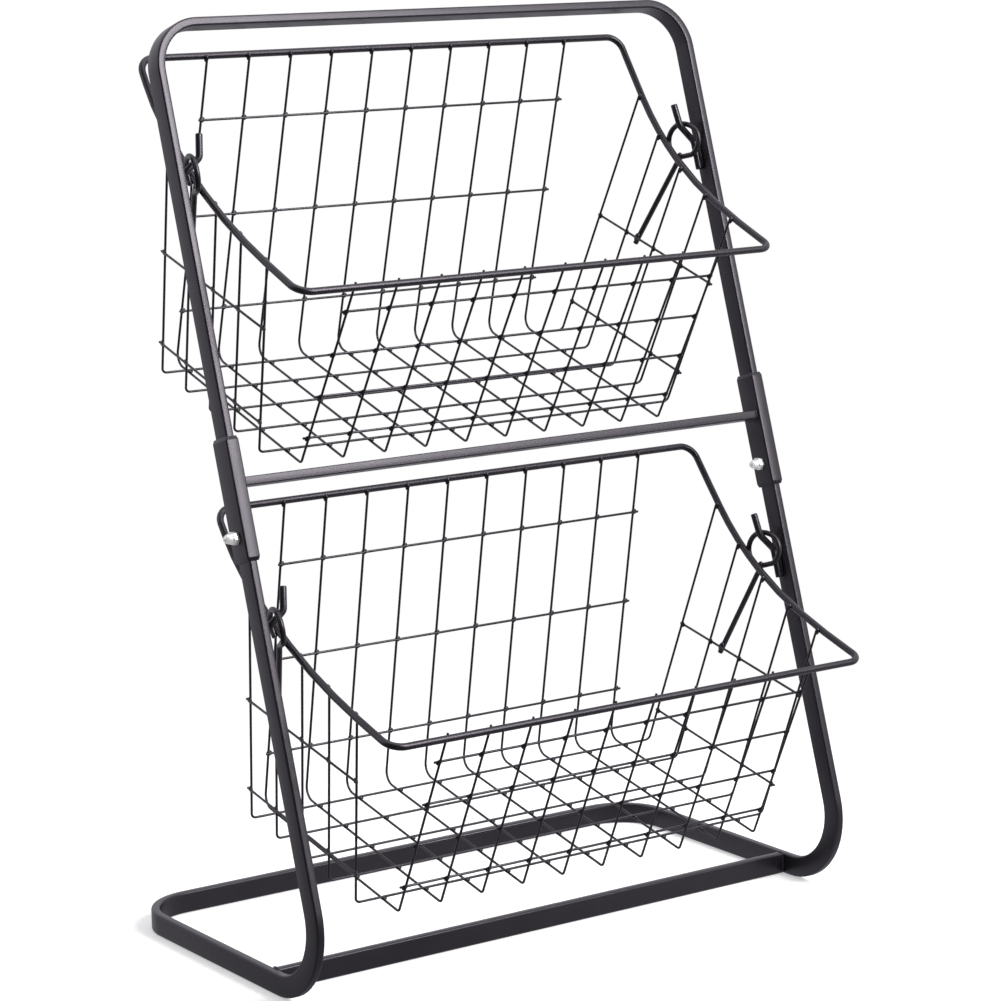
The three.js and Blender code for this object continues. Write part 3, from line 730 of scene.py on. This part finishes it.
wire_gap = 2 * WIRE_R + JOIN_GAP
front_gap = wire_gap * math.hypot(1, FRONT_SLOPE)
back_gap = wire_gap * math.hypot(1, BACK_SLOPE)
rail_path = [(Vector((side * (long_half + RAIL_OVERHANG), 0, 0)), 0) for side in (-1, 1)]
rail = thin_wire("rail", rail_path, up)
rail_spots = []
for k in range(FRONT_RAILS):
    h = FRONT_RAIL_FIRST + k * FRONT_RAIL_PITCH
    rail_spots.append(("front", k + 1, front_y(h) + front_gap, h))
for k in range(BACK_RAILS):
    h = BACK_RAIL_FIRST + k * BACK_RAIL_PITCH
    rail_spots.append(("back", k + 1, back_y(h) - back_gap, h))
for wall, number, y, h in rail_spots:
    wire = copy_to(rail, f"{wall}_level_wire_{number}", Matrix.Translation((0, y, h)))
    basket_pieces.append((wire, [f"{wall}_rail_{number}"]))
bpy.data.objects.remove(rail)

# Cross mat
# Five wires along the bottom that turn up both side walls to the rim, with two short rails outside each
# side. The mat is welded flat, then its sides are bent up.
CROSS_WIRES = 5
CROSS_MARGIN = 18.6 * MM
CROSS_LEAN = math.tan(math.radians(3.2))
SIDE_CORNER_BEND = 4 * MM
SIDE_RAILS = 2
SIDE_RAIL_FIRST = 25.2 * MM
SIDE_RAIL_PITCH = 69.4 * MM
SIDE_RAIL_OFFSET = 1.3 * MM
SIDE_OVERSHOOT = 0.4 * MM

cross_pitch = (BASKET_DEPTH - 2 * CROSS_MARGIN) / (CROSS_WIRES - 1)
cross_places = [CROSS_MARGIN + k * cross_pitch for k in range(CROSS_WIRES)]
side_rail_heights = [SIDE_RAIL_FIRST + k * SIDE_RAIL_PITCH for k in range(SIDE_RAILS)]


def join_all(name, parts):
    """Joins pieces into the first one."""
    bpy.ops.object.select_all(action="DESELECT")
    for part in parts:
        part.select_set(True)
    bpy.context.view_layer.objects.active = parts[0]
    bpy.ops.object.join()
    parts[0].name = name
    parts[0].data.name = name
    return parts[0]


cross_tops = []
mat_wires = []
for y in cross_places:
    top = rim_height_at(y - CROSS_LEAN * RIM_FRONT_H) + SIDE_OVERSHOOT
    cross_tops.append(top)
    path = [
        (Vector((-side_x(top), y - CROSS_LEAN * top, top)), 0),
        (Vector((-side_x(wire_gap), y, wire_gap)), SIDE_CORNER_BEND),
        (Vector((side_x(wire_gap), y, wire_gap)), SIDE_CORNER_BEND),
        (Vector((side_x(top), y - CROSS_LEAN * top, top)), 0),
    ]
    mat_wires.append(thin_wire("cross_wire", path, Vector((0, 1, 0))))
side_rail_path = [
    (Vector((0, cross_places[0] - RAIL_OVERHANG, 0)), 0),
    (Vector((0, cross_places[-1] + RAIL_OVERHANG, 0)), 0),
]
side_rail = thin_wire("side_rail", side_rail_path, up)
for h in side_rail_heights:
    for side in (-1, 1):
        spot = Vector((side * (side_x(h) + SIDE_RAIL_OFFSET), -CROSS_LEAN * h, h))
        mat_wires.append(copy_to(side_rail, "side_rail", Matrix.Translation(spot)))
bpy.data.objects.remove(side_rail)
basket_pieces.append((join_all("cross_wires", mat_wires), ["cross_mat"]))

# Basket hooks
# A thicker rod on each side of a basket, welded to the upper side rail and to the rim.
# Above the rim it turns into an open eye that hangs on the frame hook.
ROD_R = 1.9 * MM
ROD_SIDES = 14
ROD_END_ROUND = 0.6 * MM
ROD_MEETS_EYE = math.radians(266)
ROD_TURN_BEND = 4 * MM
ROD_FOOT_SHIFT = 14 * MM
ROD_FOOT_DROP = 5.6 * MM
EYE_R = 11.9 * MM
EYE_Y = 90.5 * MM
EYE_SINK = 1.2 * MM
EYE_FIRST = math.radians(215)
EYE_LAST = math.radians(-52)
EYE_STEPS = 18
EYE_HANG = math.radians(14.4)
EYE_TURN = math.radians(14)
EYE_SPREAD = 0.24

eye_h = rim_height_at(EYE_Y) - EYE_SINK + EYE_R
rail_top_h = side_rail_heights[-1]
rim_cross_y = EYE_Y + EYE_R * math.cos(ROD_MEETS_EYE)
rim_cross_h = rim_height_at(rim_cross_y)
rod_at_rim = side_x(rim_cross_h) + rim_offset + RIM_R + ROD_R + JOIN_GAP
rod_at_rail = side_x(rail_top_h) + SIDE_RAIL_OFFSET + WIRE_R + ROD_R + JOIN_GAP
rod_slope = (rod_at_rim - rod_at_rail) / (rim_cross_h - rail_top_h)


def on_eye(angle):
    """A point of the right eye's ring, at an angle from its back.

    The ring is turned to stand square to the frame hook, and opens behind the spot that hangs on it.
    """
    behind = EYE_R * (math.cos(angle) - math.sin(EYE_HANG))
    reach = EYE_R + EYE_SPREAD * max(behind, 0)
    h = eye_h + reach * math.sin(angle)
    x = rod_at_rim + rod_slope * (h - rim_cross_h) - behind * math.sin(EYE_TURN)
    return Vector((x, EYE_Y + reach * math.cos(angle), h))


rod_foot = Vector(
    (rod_at_rail - rod_slope * ROD_FOOT_DROP, EYE_Y + ROD_FOOT_SHIFT, rail_top_h - ROD_FOOT_DROP)
)
rod_top = on_eye(ROD_MEETS_EYE)
eye_step = (EYE_LAST - EYE_FIRST) / EYE_STEPS
eye_spots = [on_eye(EYE_FIRST + k * eye_step) for k in range(EYE_STEPS + 1)]
rod_path = [(rod_foot, 0), (rod_top, ROD_TURN_BEND)]
rod_path += soft_corners([rod_top] + eye_spots)
rod_path += [(eye_spots[-1], 0)]
right_eye = pull_along(
    "right_eye_rod", round_loop(ROD_R, ROD_SIDES), rod_path, up, end_round=ROD_END_ROUND
)
left_eye = copy_to(right_eye, "left_eye_rod", mirror_x)
basket_pieces.append((left_eye, ["left_basket_hook"]))
basket_pieces.append((right_eye, ["right_basket_hook"]))

# Weld beads of a basket
# A small spot weld at every wire crossing, and a longer one where a wire or a hook rod meets the rim.
# The powder coat runs over them and rounds the inner corners.
SPOT_SIDES = 8
SPOT_RINGS = 5
SPOT_FLATTEN = 0.96
FLAT_SPOT = (2.3 * MM, 2.3 * MM, 1.35 * MM)
RIM_SPOT = (1.7 * MM, 1.7 * MM, 2.9 * MM)
RIM_SPOT_DROP = 1 * MM
RIM_SPOT_OUT = 1.1 * MM
ROD_RAIL_SPOT = (2.1 * MM, 2.1 * MM, 3.6 * MM)
ROD_RIM_SPOT = (2 * MM, 2 * MM, 3.2 * MM)
ROD_SPOT_IN = 1.5 * MM

bpy.ops.object.select_all(action="DESELECT")
bpy.ops.mesh.primitive_uv_sphere_add(segments=SPOT_SIDES, ring_count=SPOT_RINGS, radius=1)
spot = bpy.context.object
bpy.ops.object.mode_set(mode="EDIT")
bpy.ops.mesh.select_all(action="SELECT")
bpy.ops.transform.resize(value=(1, 1, SPOT_FLATTEN))
bpy.ops.object.mode_set(mode="OBJECT")
bpy.ops.object.shade_smooth()
spot.data.materials.append(black_coat)
beads = []


def add_bead(place, facing, sizes):
    """A bead of half sizes, its last axis along facing."""
    turn = facing.to_track_quat("Z", "Y").to_matrix().to_4x4()
    squash = Matrix.Diagonal((*sizes, 1))
    beads.append(copy_to(spot, "bead", Matrix.Translation(place) @ turn @ squash))


front_low = RIM_FRONT_H - RIM_SPOT_DROP
back_low = RIM_BACK_H - RIM_SPOT_DROP
for x in long_places:
    for wall, _, y, h in rail_spots:
        if wall == "front":
            add_bead(Vector((x, y - front_gap / 2, h)), Vector((0, 1, FRONT_SLOPE)), FLAT_SPOT)
        else:
            add_bead(Vector((x, y + back_gap / 2, h)), Vector((0, -1, BACK_SLOPE)), FLAT_SPOT)
    for y in cross_places:
        add_bead(Vector((x, y, wire_gap / 2)), up, FLAT_SPOT)
    at_front = Vector((x, front_y(front_low) - RIM_SPOT_OUT, front_low))
    add_bead(at_front, Vector((0, -FRONT_SLOPE, 1)), RIM_SPOT)
    at_back = Vector((x, back_y(back_low) + RIM_SPOT_OUT, back_low))
    add_bead(at_back, Vector((0, BACK_SLOPE, 1)), RIM_SPOT)
rod_way = rod_top - rod_foot
for side in (-1, 1):
    outward = Vector((side, 0, -SIDE_SLOPE))
    along = Vector((side * SIDE_SLOPE, -CROSS_LEAN, 1))
    for y, top in zip(cross_places, cross_tops):
        for h in side_rail_heights:
            x = side * (side_x(h) + SIDE_RAIL_OFFSET / 2)
            add_bead(Vector((x, y - CROSS_LEAN * h, h)), outward, FLAT_SPOT)
        low = top - SIDE_OVERSHOOT - RIM_SPOT_DROP
        x = side * (side_x(low) + RIM_SPOT_OUT)
        add_bead(Vector((x, y - CROSS_LEAN * low, low)), along, RIM_SPOT)
    rod_facing = Vector((side * rod_way.x, rod_way.y, rod_way.z))
    for h, sizes in ((rail_top_h, ROD_RAIL_SPOT), (rim_cross_h, ROD_RIM_SPOT)):
        on_rod = rod_foot + rod_way * ((h - rod_foot.z) / rod_way.z)
        add_bead(Vector((side * (on_rod.x - ROD_SPOT_IN), on_rod.y, on_rod.z)), rod_facing, sizes)
bpy.data.objects.remove(spot)
basket_pieces.append((join_all("weld_beads", beads), []))

# Hanging the baskets
# The same basket twice. Its eyes hang on the slopes of a pair of frame hooks.
# Each basket tips back by its own angle, as it came to rest.
UPPER_TILT = math.radians(16.9)
LOWER_TILT = math.radians(11.9)
SEAT_CLEAR = 0.5 * MM

hang_drop = EYE_R - (HOOK_R + ROD_R + SEAT_CLEAR) / math.cos(HOOK_SLOPE)
hang_y = EYE_Y + hang_drop * math.sin(EYE_HANG)
hang_h = eye_h + hang_drop * math.cos(EYE_HANG)
for tier, seat, tilt in (("upper", upper_seat, UPPER_TILT), ("lower", LOWER_SEAT, LOWER_TILT)):
    hung_on = on_hook(eye_top_x, seat)
    hung = (
        Matrix.Translation((0, hung_on.y, hung_on.z))
        @ Matrix.Rotation(tilt, 4, "X")
        @ Matrix.Translation((0, -hang_y, -hang_h))
    )
    for piece, nodes in basket_pieces:
        copy = copy_to(piece, f"{tier}_tier_{piece.name}", hung)
        fix_on(copy, f"{tier}_basket", *[f"{tier}_{node}" for node in nodes])
for piece, _ in basket_pieces:
    bpy.data.objects.remove(piece)

# Floor and light
# A white floor that keeps a soft shadow near the rack, in a white room that is darker behind the camera.
# One large soft lamp stands to the right in front, one hangs overhead and one fills in from the left.
FLOOR_SIZE = 30
FLOOR_DROP = 0.5 * MM
FLOOR_WHITE = (0.85, 0.85, 0.85, 1)
FLOOR_GLOW = 0.45
SHADOW_NEAR = 0.3
SHADOW_FAR = 0.75
DARK_SIDE = Vector((-0.566, -0.803, 0.184))
MIRROR_BRIGHT = 0.74
MIRROR_DIM = 0.1
MIRROR_DIM_FROM = -0.2
MIRROR_DIM_TO = 0.5
ROOM_WHITE = (1, 1, 1, 1)
ROOM_COOL = (0.94, 0.92, 1, 1)
ROOM_FILL = 0.35
ROOM_DIM = 0.02
ROOM_DIM_FROM = 0.3
ROOM_DIM_TO = 0.85
LAMP_AIM = Vector((0, 0, 0.3))
LAMPS = (
    ("right_lamp", Vector((0.75, -1.8, 1.66)), 0.8, 1.5, 82),
    ("top_lamp", Vector((0.1, 0.1, 2.6)), 1.4, 1.4, 12),
    ("left_lamp", Vector((-2.2, 0.9, 1.7)), 1.4, 1.4, 7),
)


def ray_kinds(start):
    """1 for rays from the camera, and 1 for rays from a shiny surface or through glass."""
    kinds = ("Is Camera Ray", "Is Glossy Ray", "Is Transmission Ray")
    camera, glossy, clear = [start.node("ShaderNodeLightPath", output=kind) for kind in kinds]
    return camera, glossy + clear


def to_dark_side(start, place):
    """How far a place or a direction lies towards the dark side of the room."""
    settings = {"operation": "DOT_PRODUCT"}
    return start.node("ShaderNodeVectorMath", settings, {0: place, 1: DARK_SIDE}, output="Value")


def ease(start, value, low, high, first, last):
    """Goes softly from first to last while a value goes from low to high."""
    return start.node(
        "ShaderNodeMapRange",
        {"interpolation_type": "SMOOTHSTEP"},
        {"Value": value, "From Min": low, "From Max": high, "To Min": first, "To Max": last},
    )


def mix(start, share, first, second):
    """One shader that goes over into another."""
    return start.node("ShaderNodeMixShader", sockets={"Fac": share, 1: first, 2: second})


bpy.ops.object.select_all(action="DESELECT")
bpy.ops.mesh.primitive_plane_add(size=FLOOR_SIZE, location=(0, 0, -FLOOR_DROP))
floor = bpy.context.object
floor.name = "floor"
floor_white, shade = new_finish("white_floor")
place = shade.node("ShaderNodeTexCoord", output="Object")
away = shade.node("ShaderNodeVectorMath", {"operation": "LENGTH"}, {0: place}, output="Value")
far = ease(shade, away, SHADOW_NEAR, SHADOW_FAR, 0.0, 1.0)
in_front = ease(shade, to_dark_side(shade, place), MIRROR_DIM_FROM, MIRROR_DIM_TO, 0.0, 1.0)
matt = shade.node("ShaderNodeBsdfDiffuse", sockets={"Color": FLOOR_WHITE})
glow = shade.node("ShaderNodeEmission", sockets={"Color": ROOM_WHITE, "Strength": FLOOR_GLOW})
near = shade.node("ShaderNodeAddShader", sockets={0: matt, 1: glow})
white = shade.node("ShaderNodeEmission", sockets={"Color": ROOM_WHITE, "Strength": 1.0})
bright = shade.node("ShaderNodeEmission", sockets={"Color": ROOM_COOL, "Strength": MIRROR_BRIGHT})
dark = shade.node("ShaderNodeEmission", sockets={"Color": ROOM_COOL, "Strength": MIRROR_DIM})
camera_ray, mirrored_ray = ray_kinds(shade)
direct = mix(shade, camera_ray, matt, mix(shade, far, near, white))
surface = mix(shade, mirrored_ray, direct, mix(shade, in_front, bright, dark))
shade.node("ShaderNodeOutputMaterial", sockets={"Surface": surface})
floor.data.materials.append(floor_white)

room = bpy.data.worlds.new("white_room")
room.use_nodes = True
room.node_tree.nodes.clear()
shade = Shade(room.node_tree)
way = shade.node("ShaderNodeTexCoord", output="Generated")
level = ease(shade, to_dark_side(shade, way), ROOM_DIM_FROM, ROOM_DIM_TO, 1.0, ROOM_DIM)
camera_ray, mirrored_ray = ray_kinds(shade)
strength = level * (ROOM_FILL + (1 - ROOM_FILL) * mirrored_ray)
lit = shade.node("ShaderNodeBackground", sockets={"Color": ROOM_COOL, "Strength": strength})
plain = shade.node("ShaderNodeBackground", sockets={"Color": ROOM_WHITE, "Strength": 1.0})
shade.node("ShaderNodeOutputWorld", sockets={"Surface": mix(shade, camera_ray, lit, plain)})
bpy.context.scene.world = room

for name, stand, wide, tall, power in LAMPS:
    bpy.ops.object.light_add(type="AREA", location=stand)
    lamp = bpy.context.object
    lamp.name = name
    lamp.data.shape = "RECTANGLE"
    lamp.data.size = wide
    lamp.data.size_y = tall
    lamp.data.energy = power
    lamp.rotation_euler = (LAMP_AIM - stand).to_track_quat("-Z", "Y").to_euler()

# Camera
# Solved from the photograph's vanishing points and corners, at the same place in the rack's frame.
# The shift keeps the photograph's crop.
CAMERA_PLACE = Vector((-1.26347, -1.82872, 0.70501))
CAMERA_YAW = math.radians(35.192)
CAMERA_PITCH = math.radians(10.629)
CAMERA_ROLL = math.radians(-0.8068)
CAMERA_SENSOR = 36
CAMERA_LENS = 118.117
CAMERA_SHIFT_X = -0.02235
CAMERA_SHIFT_Y = 0.00699

view_way = Vector(
    (
        math.sin(CAMERA_YAW) * math.cos(CAMERA_PITCH),
        math.cos(CAMERA_YAW) * math.cos(CAMERA_PITCH),
        -math.sin(CAMERA_PITCH),
    )
)
level_right = Vector((math.cos(CAMERA_YAW), -math.sin(CAMERA_YAW), 0))
level_up = level_right.cross(view_way)
view_right = level_right * math.cos(CAMERA_ROLL) + level_up * math.sin(CAMERA_ROLL)
view_up = level_up * math.cos(CAMERA_ROLL) - level_right * math.sin(CAMERA_ROLL)
bpy.ops.object.camera_add(location=(0, 0, 0))
camera = bpy.context.object
turn = Matrix((view_right, view_up, -view_way)).transposed().to_4x4()
camera.matrix_world = Matrix.Translation(CAMERA_PLACE) @ turn
camera.data.sensor_width = CAMERA_SENSOR
camera.data.lens = CAMERA_LENS
camera.data.shift_x = CAMERA_SHIFT_X
camera.data.shift_y = CAMERA_SHIFT_Y
bpy.context.scene.camera = camera
bpy.context.scene.view_settings.view_transform = "Standard"
